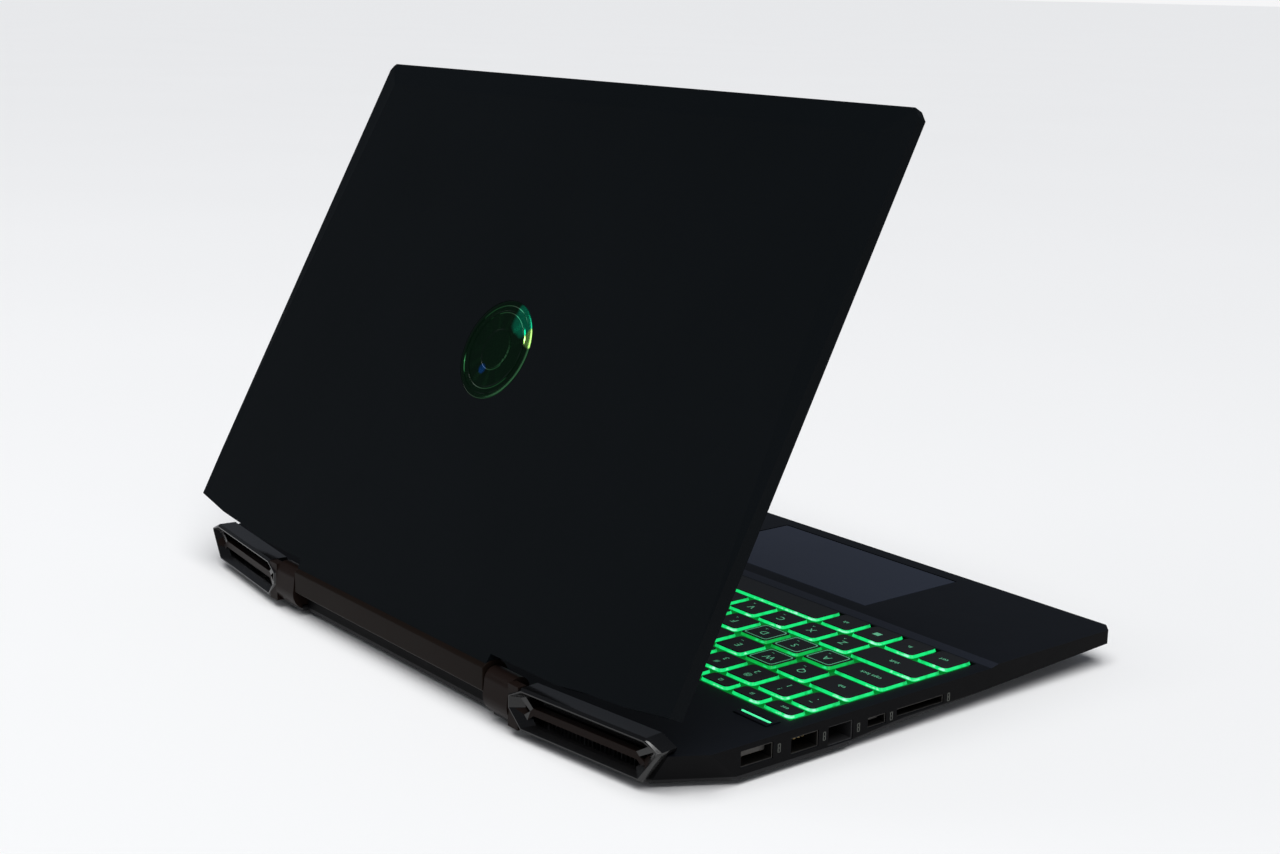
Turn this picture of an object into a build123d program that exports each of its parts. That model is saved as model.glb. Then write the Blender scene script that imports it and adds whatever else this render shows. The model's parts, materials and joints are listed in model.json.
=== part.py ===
from build123d import *
import math
import os

os.makedirs("parts", exist_ok=True)

# Overall sizes. The case is drawn with y = 0 at its front edge and z = 0 on the table.
WIDTH = 360.0
DEPTH = 256.6
DECK_Z = 16.4            # palm rest surface
KEY_DECK_Z = 15.4        # the deck behind the ramp is a millimetre lower
BASE_Z = 2.4             # underside of the case, above the feet
SEAT_Z = 13.2            # underside of the deck, where the keyboard plate is fixed
FLOOR_Z = 3.9            # inside face of the bottom cover
WALL = 2.0
RAMP_FRONT_Y = 75.5
RAMP_BACK_Y = 79.8

# Lid, drawn closed and then turned open about the hinge axis.
HINGE_Y = 250.6
HINGE_Z = 17.4
REST_OPEN = 62.3
LID_FRONT_Y = 1.0
LID_REAR_Y = 235.0
LID_TOP_Z = 23.4
LID_BOTTOM_Z = 17.0
LID_RIM_Z = 18.2
LID_CAVITY_Z = 20.9
BARREL_R = 7.0
BARREL_HALF = 75.0
TROUGH_R = 7.6
PIN_R = 2.5
PIN_BORE_R = 2.55
TOWER_R = 5.0

# Keyboard.
PITCH_X = 18.77
PITCH_Y = 18.45
CAP_W = 16.4
CAP_D = 16.0
CAP_TOP_SHRINK = 1.5
KEY_BOTTOM_Z = 15.1
KEY_TOP_Z = 16.6
FIELD_LEFT = -171.8
BOTTOM_ROW_Y = 98.1      # rear edge of the bottom row
FUNCTION_D = 9.0
FUNCTION_Y = 183.2
FIELD_RIGHT = FIELD_LEFT + 18.47 * PITCH_X - (PITCH_X - CAP_W)
WELL = (FIELD_LEFT - 1.2, FIELD_RIGHT + 1.2, BOTTOM_ROW_Y - CAP_D - 1.2, FUNCTION_Y + 1.2)

# Rear vents: each frame is an octagonal tube whose rear face is swept in plan.
POD_OUTER = (176.0, 247.2)
POD_INNER = (92.5, 256.6)
POD_DEPTH = 9.0
POD_BEVEL = 1.2
POD_MID_Z = 12.65
POD_HALF_H = 8.75
FUNNEL_END = 3.4
FUNNEL_DEPTH = 3.6

# Fans.
FAN_X = 128.0
FAN_Y = 207.0
ROTOR_R = 23.0
SHAFT_R = 1.5
SHAFT_BORE_R = 1.55


def box(x0, x1, y0, y1, z0, z1):
    return Pos((x0 + x1) / 2, (y0 + y1) / 2, (z0 + z1) / 2) * Box(x1 - x0, y1 - y0, z1 - z0)


def rod(x0, x1, r, y=HINGE_Y, z=HINGE_Z):
    return Pos((x0 + x1) / 2, y, z) * Rot(0, 90, 0) * Cylinder(r, x1 - x0)


def post(x, y, z0, z1, r):
    return Pos(x, y, (z0 + z1) / 2) * Cylinder(r, z1 - z0)


def plate(points, z0, z1, grow=0.0):
    face = Sketch() + make_face(Polyline(*points, close=True))
    if grow:
        face = offset(face, amount=grow, kind=Kind.INTERSECTION)
    return Pos(0, 0, z0) * extrude(face, amount=z1 - z0)


def side_prism(points, x0, x1):
    """Extrude a (y, z) outline along x."""
    face = make_face(Polyline(*[(x0, y, z) for y, z in points], close=True))
    return extrude(face, amount=x1 - x0, dir=(1, 0, 0))


def wedge(first, last):
    """Loft between two triangles given as lists of points."""
    a = make_face(Polyline(*first, close=True))
    b = make_face(Polyline(*last, close=True))
    return loft([a, b])


def both_sides(shape):
    return shape + mirror(shape, Plane.YZ)


def save_base(shape, name):
    export_step(Pos(0, -DEPTH / 2, 0) * shape, f"parts/{name}.step")


def save_lid(shape, name):
    turned = Pos(0, HINGE_Y, HINGE_Z) * Rot(-REST_OPEN, 0, 0) * Pos(0, -HINGE_Y, -HINGE_Z) * shape
    save_base(turned, name)


# ---------------------------------------------------------------- case outline
def mirrored(right):
    return right + [(-x, y) for x, y in reversed(right) if x > 0]


CASE_OUTLINE = mirrored([
    (0, 249.0), (75.6, 249.0), (76.2, 251.4), (92.0, 251.4),
    (176.5, 242.0), (180.0, 238.0), (180.0, 5.0), (175.0, 0.0), (0, 0.0),
])
CORNER_POINT = (172.0, 235.0, 8.2)
CORNER_FACING = (1.7, 1.0, -1.05)
# Height of the lower edge of the side wall, from front to rear.
SEAM = [(-1, 10.6), (32, 8.9), (80, 6.9), (130, 6.3), (160, 4.0), (262, 4.0)]


def corner_cut(inset):
    """Everything outside the slanting facet at a rear corner, which faces out, back and down."""
    facet = Plane(origin=CORNER_POINT, x_dir=(-1, 1.7, 0), z_dir=CORNER_FACING)
    return facet * Pos(0, 0, 20 - inset) * Box(90, 90, 40)


def case_block(inset, z0, z1):
    block = plate(CASE_OUTLINE, z0, z1, -inset)
    lift = inset * 0.55
    side = wedge(
        [(180 - inset + 0.01, -1, 10.6 + lift), (196, -1, 10.6 + lift), (196, -1, 0), (152 - inset, -1, 0)],
        [(180 - inset + 0.01, 160, 3.5 + lift), (196, 160, 3.5 + lift), (196, 160, 0), (171 - inset, 160, 0)],
    )
    front = side_prism(
        [(inset - 0.01, 10.6 + lift), (-16, 10.6 + lift), (-16, 0), (30 + inset, 0)], -190, 190,
    )
    return block - both_sides(side) - front - both_sides(corner_cut(inset))


lower_zone = side_prism(SEAM + [(262, -1), (-1, -1)], -200, 200)
outer = case_block(0.0, BASE_Z, DECK_Z)
inner = case_block(WALL, FLOOR_Z, SEAT_Z)


# ---------------------------------------------------------------- rear vent frames
def pod_plane():
    mid = ((POD_OUTER[0] + POD_INNER[0]) / 2, (POD_OUTER[1] + POD_INNER[1]) / 2, POD_MID_Z)
    run = (POD_OUTER[0] - POD_INNER[0], POD_OUTER[1] - POD_INNER[1], 0)
    return Plane(origin=mid, x_dir=run, z_dir=(-run[1], run[0], 0))


POD = pod_plane()
POD_HALF_W = math.hypot(POD_OUTER[0] - POD_INNER[0], POD_OUTER[1] - POD_INNER[1]) / 2


def pod_octagon(inset, ends=0.0):
    """Octagon in the frame's own plane: x runs outwards, y follows the plane's up direction."""
    w = POD_HALF_W - inset - ends
    h = POD_HALF_H - inset
    cut = 7.5 - inset * 0.5
    low = -3.5 + inset * 0.3
    high = 3.5 - inset * 0.3
    up = POD.y_dir.Z
    pts = [
        (w - 2.6, (high + 1.9) * up), (w - cut - 3.0, h * up), (-w + cut, h * up), (-w, (high + 1.0) * up),
        (-w, (low + 2.5) * up), (-w + cut, -h * up), (w - cut - 5.0, -h * up), (w - 3.0, (high + 0.7) * up),
    ]
    return make_face(Polyline(*[POD.from_local_coords((x, y, 0)) for x, y in pts], close=True))


def pod_prism(inset, near, far, ends=0.0):
    """Octagonal prism between two depths behind the rear face."""
    out = POD.z_dir
    face = pod_octagon(inset, ends).moved(Location(out * -near))
    return extrude(face, amount=far - near, dir=tuple(-out))


# A narrow bevel runs round the rear face of the frame.
pod_rear = loft([pod_octagon(0.9), pod_octagon(0.0).moved(Location(POD.z_dir * -POD_BEVEL))])
pod_solid = pod_rear + pod_prism(0.0, POD_BEVEL, POD_DEPTH)
# The mouth narrows like a funnel, most of all at its two ends.
mouth = loft([pod_octagon(1.4), pod_octagon(3.5, FUNNEL_END).moved(Location(POD.z_dir * -FUNNEL_DEPTH))])
throat = pod_prism(3.5, FUNNEL_DEPTH, 6.6, FUNNEL_END)
throat = throat + (pod_prism(3.5, 6.5, POD_DEPTH + 1, FUNNEL_END) & box(0, 190, 220, 270, 0, SEAT_Z))
pod_frame = pod_solid - mouth - throat


def mouth_solid(points, depth, thickness):
    """Extrude an outline drawn in the frame's plane, starting a little inside the mouth."""
    face = make_face(Polyline(*[POD.from_local_coords((x, y, -depth)) for x, y in points], close=True))
    return extrude(face, amount=thickness, dir=tuple(-POD.z_dir))


# The centre bar across the mouth is part of the same moulding; each end forks into the two corners.
fork = POD_HALF_W - 12.5
tip = POD_HALF_W - 5.4
far_fork = POD_HALF_W - 16.5
far_tip = POD_HALF_W - 7.6
pod_bar = mouth_solid([
    (-tip, 4.4), (-tip + 2.4, 5.4), (-fork, 1.5), (far_fork, 1.5), (far_tip - 2.4, 5.4), (far_tip, 4.4),
    (far_tip, -4.4), (far_tip - 2.4, -5.4), (far_fork, -1.5), (-fork, -1.5), (-tip + 2.4, -5.4), (-tip, -4.4),
], 2.4, 3.4)
pod_bar = pod_bar - mouth_solid([(-tip - 1, 4.4), (-fork - 1.6, 0.0), (-tip - 1, -4.4)], 1.0, 6.0)
pod_bar = pod_bar - mouth_solid([(far_tip + 1, 4.4), (far_fork + 1.6, 0.0), (far_tip + 1, -4.4)], 1.0, 6.0)
pod_frame = pod_frame + (pod_bar & pod_prism(2.4, 0.0, POD_DEPTH))
# The heatsink's air passes from the case into the frame.
air_path = pod_prism(3.4, POD_DEPTH - 0.5, POD_DEPTH + 7.0) & box(0, 190, 220, 270, 0, SEAT_Z)
save_base(pod_frame, "vent_frame_right")
save_base(mirror(pod_frame, Plane.YZ), "vent_frame_left")

# ---------------------------------------------------------------- hinge towers
# Each tower is one block round the hinge pin. Its rear face curves in under the case and it runs out to the vent.
tower_edge = Polyline(*[(75.9, y, z) for y, z in [
    (251.7, 3.8), (251.7, 5.5), (244.2, 5.5), (244.2, 15.2), (245.6, 17.4), (255.6, 17.4), (256.2, 12.5),
]])
tower_edge = tower_edge + ThreePointArc((75.9, 256.2, 12.5), (75.9, 255.2, 7.0), (75.9, 251.7, 3.8))
tower = extrude(make_face(tower_edge), amount=16.2, dir=(1, 0, 0)) + rod(75.9, 92.1, TOWER_R)
tower = tower + box(92.0, 98.6, 251.7, 255.7, 3.9, 21.3) - pod_solid
tower = tower - rod(77.4, 90.2, 4.15) - rod(70.0, 80.0, 3.6)
bracket_ring = rod(79.4, 88.6, 3.8)
bracket_leg = box(80.4, 87.6, 247.6, 251.2, 4.1, 14.5)
bracket_foot = box(79.0, 89.0, 226.0, 250.4, 4.1, 5.3)
bracket = bracket_ring + bracket_leg + bracket_foot - rod(70.0, 95.0, PIN_BORE_R)
tower = tower - box(80.3, 87.7, 247.5, 251.3, 3.0, 14.9)
tower = max(tower.solids(), key=lambda solid: solid.volume)
save_base(tower, "hinge_tower_right")
save_base(mirror(tower, Plane.YZ), "hinge_tower_left")
save_base(bracket, "hinge_bracket_right")
save_base(mirror(bracket, Plane.YZ), "hinge_bracket_left")

# ---------------------------------------------------------------- side ports
# (name, side, y centre, z centre, opening width along y, opening height, body depth)
PORTS = {
    "hdmi": (-1, 207.0, 9.9, 15.0, 5.6, 12.0),
    "usb_left": (-1, 183.0, 8.9, 13.1, 5.7, 17.0),
    "ethernet": (-1, 164.5, 8.1, 12.0, 7.0, 15.0),
    "usb_c": (-1, 145.1, 8.5, 9.0, 3.3, 9.0),
    "card": (-1, 121.0, 8.9, 25.6, 2.6, 24.0),
    "usb_right": (1, 178.0, 8.9, 13.1, 5.7, 17.0),
    "usb_right_front": (1, 156.0, 8.9, 13.1, 5.7, 17.0),
}
AUDIO_Y = 136.0
DC_Y = 216.0
LIGHT_Y = 205.0


def port_box(key, grow, x_from, x_to):
    side, y, z, w, h, depth = PORTS[key]
    xa, xb = sorted((side * x_from, side * x_to))
    return box(xa, xb, y - w / 2 - grow, y + w / 2 + grow, z - h / 2 - grow, z + h / 2 + grow)


def port_shell(key, skin):
    """A folded metal shell, open at the mouth, with a closed back."""
    depth = PORTS[key][5]
    return port_box(key, skin, 179.6 - depth, 179.6) - port_box(key, 0.0, 180.6 - depth, 182.0)


port_cuts = Part()
for key in PORTS:
    port_cuts = port_cuts + port_box(key, 0.45, 176.0, 182.0)
audio_axis = Pos(170.0, AUDIO_Y, 8.9) * Rot(0, 90, 0)
dc_axis = Pos(172.0, DC_Y, 9.2) * Rot(0, 90, 0)
port_cuts = port_cuts + audio_axis * Cylinder(2.75, 24) + dc_axis * Cylinder(3.6, 24)
port_cuts = port_cuts + Pos(178.0, LIGHT_Y, 9.2) * Rot(0, 90, 0) * Cylinder(0.8, 6)


def tongue(key, thick, reach, z_shift):
    side, y, z, w, h, depth = PORTS[key]
    xa, xb = sorted((side * (179.0 - depth + 1.5), side * (179.6 - depth + reach)))
    return box(xa, xb, y - w / 2 + 1.3, y + w / 2 - 1.3, z + z_shift - thick / 2, z + z_shift + thick / 2)


def shell_with_tongue(key, skin, thick, reach, z_shift):
    shell = port_shell(key, skin)
    side, y, z, w, h, depth = PORTS[key]
    xa, xb = sorted((side * (179.6 - depth + 0.5), side * (179.6 - depth + reach)))
    inside = box(xa, xb, y - w / 2 + 1.3, y + w / 2 - 1.3, z + z_shift - thick / 2, z + z_shift + thick / 2)
    return shell + inside


save_base(shell_with_tongue("hdmi", 0.4, 1.8, 9.5, 0.6), "hdmi_port")
save_base(shell_with_tongue("usb_left", 0.4, 1.9, 12.0, 1.2), "usb_port_left")
usb_right = shell_with_tongue("usb_right", 0.4, 1.9, 12.0, 1.2)
usb_right_front = shell_with_tongue("usb_right_front", 0.4, 1.9, 12.0, 1.2)
save_base(Compound([usb_right, usb_right_front]), "usb_ports_right")
save_base(shell_with_tongue("usb_c", 0.35, 0.8, 6.5, 0.0), "usb_c_port")
save_base(port_shell("card", 0.35), "card_reader")
save_base(port_shell("ethernet", 0.45), "ethernet_port")
audio_body = box(166.0, 179.6, AUDIO_Y - 3.4, AUDIO_Y + 3.4, 5.9, 11.8) & (
    box(166.0, 176.6, AUDIO_Y - 3.4, AUDIO_Y + 3.4, 5.9, 11.8) + audio_axis * Cylinder(2.7, 24)
)
audio_body = audio_body - Pos(174.2, AUDIO_Y, 8.9) * Rot(0, 90, 0) * Cylinder(1.8, 14)
save_base(audio_body, "audio_jack")
dc_body = box(161.0, 176.6, DC_Y - 4.4, DC_Y + 4.4, 5.0, 13.0) + (
    box(170.0, 179.6, DC_Y - 4.4, DC_Y + 4.4, 5.0, 13.0) & dc_axis * Cylinder(3.55, 24)
)
dc_body = dc_body - Pos(173.0, DC_Y, 9.2) * Rot(0, 90, 0) * (Cylinder(2.25, 18) - Cylinder(0.5, 30))
save_base(dc_body, "dc_inlet")
save_base(Pos(177.6, LIGHT_Y, 9.2) * Rot(0, 90, 0) * Cylinder(0.75, 4.4), "charge_light")

# ---------------------------------------------------------------- top cover
PAD = (-95.7, 17.8, 7.7, 66.9)
PAD_GAP = 0.35
top = outer - lower_zone - inner
# A curved wall under the hinge line closes the case round the barrel.
top = top + ((rod(-76.0, 76.0, TROUGH_R + 1.2) - rod(-77, 77, TROUGH_R)) & box(-76, 76, 240, 249, 4.2, SEAT_Z + 0.2))
# Lowered keyboard deck behind a narrow sloped ramp.
low_deck = side_prism(
    [(RAMP_FRONT_Y, DECK_Z), (RAMP_BACK_Y, KEY_DECK_Z), (270, KEY_DECK_Z), (270, 20), (RAMP_FRONT_Y, 20)],
    -190, 190,
)
top = top - low_deck
top = top - box(WELL[0], WELL[1], WELL[2], WELL[3], 10, 20)
top = top - box(PAD[0] - PAD_GAP, PAD[1] + PAD_GAP, PAD[2] - PAD_GAP, PAD[3] + PAD_GAP, 14.5, 20)
top = top - rod(-75.7, 75.7, TROUGH_R)
top = top - both_sides(rod(75.6, 92.4, TOWER_R + 0.3) + box(75.6, 92.4, 243.9, 260.0, 4.9, 18.0))
top = top - port_cuts
top = top - both_sides(pod_solid + air_path)
top = top - both_sides(box(78.8, 89.2, 226.0, 258.0, 0, 8.0))
BUTTON = (-172.0, -153.6, 188.4, 195.6)
button_hole = box(BUTTON[0] - 0.3, BUTTON[1] + 0.3, BUTTON[2] - 0.3, BUTTON[3] + 0.3, 10, 20)
top = top - button_hole
# Speaker grille slots above the keyboard.
for i in range(-9, 10):
    top = top - box(i * 11.0 - 4.2, i * 11.0 + 4.2, 199.0, 200.4, 10, 20)
    top = top - box(i * 11.0 - 4.2, i * 11.0 + 4.2, 203.0, 204.4, 10, 20)
# The hinge towers cut off two small corners of the rear wall, which are left out.
top = max(top.solids(), key=lambda solid: solid.volume)
save_base(top, "top_cover")

# ---------------------------------------------------------------- bottom cover
bottom = (outer & lower_zone) - inner - port_cuts
bottom = bottom - both_sides(pod_solid + air_path)
bottom = bottom - both_sides(box(76.0, 92.4, 243.9, 260.0, 4.9, 12.0))
intake = Part()
for i in range(8):
    y = FAN_Y - 17.5 + i * 5.0
    intake = intake + box(FAN_X - 20.0, FAN_X + 20.0, y - 1.1, y + 1.1, 0, 5)
bottom = bottom - both_sides(intake)
SCREWS = [(-150, 60), (150, 60), (0, 44), (-160, 150), (160, 150), (0, 150), (-70, 232), (70, 232)]
for x, y in SCREWS:
    bottom = bottom - post(x, y, 2.0, 3.2, 3.0) - post(x, y, 2.0, 6.0, 1.3)
FEET = [(-130, 130, 36, 43), (-60, 60, 212, 219)]
save_base(bottom, "bottom_cover")
feet = Part()
for x0, x1, y0, y1 in FEET:
    foot = box(x0, x1, y0, y1, 0.0, BASE_Z)
    feet = feet + chamfer(foot.edges().group_by(Axis.Z)[0], 0.7)
save_base(feet, "rubber_feet")
screws = Part()
for x, y in SCREWS:
    head = post(x, y, 2.5, 3.2, 2.9) + post(x, y, 3.2, 4.4, 1.25)
    screws = screws + (head - Pos(x, y, 2.6) * Box(3.4, 0.8, 0.6) - Pos(x, y, 2.6) * Box(0.8, 3.4, 0.6))
save_base(screws, "bottom_screws")

# ---------------------------------------------------------------- keyboard plate and light
plate_rect = box(WELL[0] - 3.5, WELL[1] + 3.0, WELL[2] - 4.0, WELL[3] + 2.0, 12.5, SEAT_Z)
save_base(plate_rect, "keyboard_plate")
light = box(WELL[0] + 0.3, WELL[1] - 0.3, WELL[2] + 0.3, WELL[3] - 0.3, SEAT_Z, SEAT_Z + 0.2)
save_base(light, "keyboard_backlight")


# ---------------------------------------------------------------- keys
def cap(x, y_rear, width_units, depth=CAP_D):
    """One key cap: x is its left edge, y_rear its rear edge, both in millimetres."""
    w = width_units * PITCH_X - (PITCH_X - CAP_W)
    cx = x + w / 2
    cy = y_rear - depth / 2
    low = Pos(cx, cy, KEY_BOTTOM_Z) * RectangleRounded(w, depth, 1.4)
    high = Pos(cx, cy, KEY_TOP_Z) * RectangleRounded(w - CAP_TOP_SHRINK, depth - CAP_TOP_SHRINK, 1.3)
    return loft([low, high])


def row(y_rear, start, widths, depth=CAP_D):
    """A run of caps; start and widths are in key units from the left end of the field."""
    caps = []
    at = start
    for width in widths:
        caps.append(cap(FIELD_LEFT + at * PITCH_X, y_rear, width, depth))
        at += width
    return caps


MAIN_END = 14.47
rows_y = [BOTTOM_ROW_Y + i * PITCH_Y for i in range(5)]
half = (CAP_D - 1.4) / 2
bottom_caps = row(rows_y[0], 0, [1, 1, 1, 1])
bottom_caps += row(rows_y[0], 9.47, [1, 1])
bottom_caps += row(rows_y[0], 11.47, [1], half)
bottom_caps += row(rows_y[0], 12.47, [1], half)
bottom_caps += row(rows_y[0] - half - 1.4, 12.47, [1], half)
bottom_caps += row(rows_y[0], 13.47, [1], half)
space_cap = row(rows_y[0], 4, [5.47])
shift_caps = row(rows_y[1], 0, [2.06] + [1] * 10 + [2.41])
home_caps = row(rows_y[2], 0, [1.56]) + row(rows_y[2], 4.56, [1] * 8)
a_cap = row(rows_y[2], 1.56, [1])
s_cap = row(rows_y[2], 2.56, [1])
d_cap = row(rows_y[2], 3.56, [1])
enter_cap = row(rows_y[2], 12.56, [1.91])
qwerty_caps = row(rows_y[3], 0, [1.31, 1]) + row(rows_y[3], 3.31, [1] * 10 + [1.16])
w_cap = row(rows_y[3], 2.31, [1])
number_caps = row(rows_y[4], 0, [0.81] + [1] * 12 + [1.66])
function_caps = row(FUNCTION_Y, 0, [18.47 / 19] * 19, FUNCTION_D)
tall = CAP_D + PITCH_Y
numpad_caps = row(rows_y[0], MAIN_END, [2, 1]) + row(rows_y[1], MAIN_END, [1] * 3)
numpad_caps += row(rows_y[2], MAIN_END, [1] * 3) + row(rows_y[3], MAIN_END, [1] * 3)
numpad_caps += row(rows_y[4], MAIN_END, [1] * 4)
numpad_caps += row(rows_y[1], MAIN_END + 3, [1], tall) + row(rows_y[3], MAIN_END + 3, [1], tall)
KEY_GROUPS = {
    "keys_bottom": bottom_caps, "space_bar": space_cap, "keys_shift_row": shift_caps,
    "keys_home_row": home_caps, "key_a": a_cap, "key_s": s_cap,
    "key_d": d_cap, "enter_key": enter_cap, "keys_upper_row": qwerty_caps, "key_w": w_cap,
    "keys_number_row": number_caps, "keys_function_row": function_caps,
    "keys_numpad": numpad_caps,
}
for name, caps in KEY_GROUPS.items():
    save_base(caps[0] if len(caps) == 1 else Compound(caps), name)

# ---------------------------------------------------------------- touchpad and power button
pad = box(PAD[0], PAD[1], PAD[2], PAD[3], 15.1, 16.3)
save_base(pad, "touchpad")
button = box(BUTTON[0], BUTTON[1], BUTTON[2], BUTTON[3], 13.3, 15.9)
LIGHT_BAR = (-170.8, -154.8, 191.3, 192.9)
bar_slot = box(LIGHT_BAR[0], LIGHT_BAR[1], LIGHT_BAR[2], LIGHT_BAR[3], 15.1, 16.1)
save_base(button - bar_slot, "power_button")
save_base(bar_slot & box(-180, 180, 0, 250, 15.1, 15.95), "power_light")

# ---------------------------------------------------------------- inside the base
board = box(-172.0, 172.0, 100.0, 176.0, 4.6, 5.6) + box(-94.0, 94.0, 176.0, 234.0, 4.6, 5.6)
board = board + box(-172.0, -161.0, 176.0, 236.0, 4.6, 5.6) + box(161.0, 172.0, 176.0, 236.0, 4.6, 5.6)
for key in PORTS:
    board = board - port_box(key, 0.6, 160.0, 182.0)
board = board - both_sides(box(78.0, 90.0, 225.0, 260.0, 0, 20)) & inner
board = board - dc_body - audio_body
cpu = box(-28, -2, 168, 190, 5.6, 7.6) + box(24, 56, 166, 192, 5.6, 7.6)
board = board + cpu
save_base(board, "motherboard")
save_base(box(-118, 118, 14, 74, 5.2, 12.2) & inner, "battery")
speaker = box(124, 160, 28, 72, 8.2, 12.4) & inner
save_base(both_sides(speaker), "speakers")
save_base(box(66, 146, 108, 130, 5.6, 8.0), "solid_state_drive")
memory = box(-64, 6, 108, 136, 5.6, 7.2) + box(-64, 6, 108, 136, 8.0, 9.2) + box(-64, 6, 104, 108, 5.6, 9.2)
save_base(memory, "memory_modules")


def fan_housing(x):
    body = box(x - 28, x + 28, FAN_Y - 27.5, FAN_Y + 27.5, 4.5, 12.2)
    body = body - box(x - 27, x + 27, FAN_Y - 26.5, FAN_Y + 30, 5.3, 11.4)
    body = body - post(x, FAN_Y, 11.0, 13.0, 17.0)
    ring = post(x, FAN_Y, 4.0, 6.0, 17.0) - post(x, FAN_Y, 4.0, 6.0, 8.0)
    spokes = Pos(x, FAN_Y, 4.9) * Box(36, 3, 0.8) + Pos(x, FAN_Y, 4.9) * Box(3, 36, 0.8)
    body = body - (ring - spokes)
    return body + post(x, FAN_Y, 4.5, 10.6, SHAFT_R)


def fan_rotor(x):
    rotor = post(x, FAN_Y, 5.7, 10.9, 9.0)
    rotor = rotor + (post(x, FAN_Y, 6.6, 7.2, ROTOR_R) - post(x, FAN_Y, 6.0, 8.0, ROTOR_R - 1.2))
    blade = Pos(x, FAN_Y, 8.3) * Rot(0, 0, 8) * Pos(15.6, 0, 0) * Box(14.4, 0.7, 4.6)
    for i in range(23):
        turn = Pos(x, FAN_Y, 0) * Rot(0, 0, i * 360 / 23) * Pos(-x, -FAN_Y, 0)
        rotor = rotor + turn * blade
    return rotor - post(x, FAN_Y, 5.0, 12.0, SHAFT_BORE_R)


for name, x in (("left", -FAN_X), ("right", FAN_X)):
    save_base(fan_housing(x), f"fan_housing_{name}")
    save_base(fan_rotor(x), f"fan_rotor_{name}")


def heatsink(side):
    """A stack of thin upright fins between the fan's outlet and the vent."""
    fins = Part()
    for i in range(24):
        x = FAN_X - 25.3 + i * 2.2
        rear = POD_INNER[1] - POD_DEPTH - 0.3 - (x - POD_INNER[0]) * 0.1126
        fin = box(x - 0.3, x + 0.3, 235.2, rear, 5.0, 11.4)
        fins = fins + fin
    fins = fins + box(FAN_X - 26, FAN_X + 26, 235.2, 236.4, 5.0, 5.6)
    fins = fins + box(FAN_X - 26, FAN_X + 26, 235.2, 237.2, 10.8, 11.4)
    return fins if side > 0 else mirror(fins, Plane.YZ)


save_base(heatsink(1), "heatsink_right")
save_base(heatsink(-1), "heatsink_left")
pipes = box(-84, 84, 176, 183, 7.6, 10.0)
pipes = pipes + both_sides(box(77, 84, 176, 224, 7.6, 10.0))
pipes = pipes + both_sides(box(77, 99.4, 217.5, 224, 7.6, 10.0))
save_base(pipes, "heat_pipes")

# ---------------------------------------------------------------- lid
LID_OUTLINE = mirrored([
    (0, 247.6), (74.6, 247.6), (75.4, 242.7), (118, 242.3), (131, 240.5), (155, 238.7), (180, 235.0),
    (180, 4.5), (176.5, 1.0), (0, 1.0),
])


def bevel_x(u):
    """Inner edge of the side bevel at a distance u up the lid."""
    return 166 + (222 - u) * 14.0 / 198.0


bevel_slope = 2.4 / 14.0


def bevel_triangle(u):
    y = LID_REAR_Y - u
    x = bevel_x(u)
    drop = (192 - x) * bevel_slope
    return [(x, y, LID_TOP_Z), (192, y, LID_TOP_Z - drop), (192, y, LID_TOP_Z + 2), (x, y, LID_TOP_Z + 2)]


side_bevel = wedge(bevel_triangle(239), bevel_triangle(26))
front_bevel = side_prism([(-4, 20.05), (13.0, LID_TOP_Z), (13.0, 26), (-4, 26)], -190, 190)
barrel_cut = rod(-90, 90, BARREL_R + 0.02)
lid_block = plate(LID_OUTLINE, LID_BOTTOM_Z, LID_TOP_Z) - both_sides(side_bevel) - front_bevel - barrel_cut
lid_hollow = box(-176, 176, 5.5, 231.0, 15, LID_CAVITY_Z) + box(-73.0, 73.0, 230.9, 250.0, 15, LID_CAVITY_Z)
bezel_zone = plate(LID_OUTLINE, 15.0, LID_RIM_Z, -1.3)
BADGE_Y = LID_REAR_Y - 108.0
BADGE_R = 22.3
back = lid_block - lid_hollow - bezel_zone
back = back - post(0, BADGE_Y, LID_TOP_Z - 0.6, 26, BADGE_R + 0.05)
save_lid(back, "lid_back_cover")
badge = post(0, BADGE_Y, LID_TOP_Z - 0.6, LID_TOP_Z + 0.1, BADGE_R)
save_lid(badge, "lid_badge")

SCREEN = (-172.1, 172.1, 10.6, 204.2)
bezel = (plate(LID_OUTLINE, LID_BOTTOM_Z, LID_RIM_Z, -1.35) & lid_block)
bezel = bezel - box(SCREEN[0], SCREEN[1], SCREEN[2], SCREEN[3], 15, 20)
bezel = bezel - post(0, 5.8, 15, 20, 1.9)
bumper_spots = [(-170, 5.8), (170, 5.8), (-60, 5.8), (60, 5.8), (-176.0, 120), (176.0, 120)]
save_lid(bezel, "display_bezel")
save_lid(box(-172.0, 172.0, 10.7, 204.1, 17.8, 18.3), "lcd_screen")
save_lid(box(-174.5, 174.5, 8.4, 208.0, 18.3, 20.8), "lcd_module")
camera = post(0, 5.8, 17.05, 18.2, 1.85)
save_lid(camera, "webcam_lens")
save_lid(box(-34, 34, 5.6, 8.2, 18.25, 20.4), "webcam_board")
bumpers = Part()
for x, y in bumper_spots:
    bumpers = bumpers + post(x, y, 16.65, LID_BOTTOM_Z, 1.6)
save_lid(bumpers, "lid_bumpers")

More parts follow.
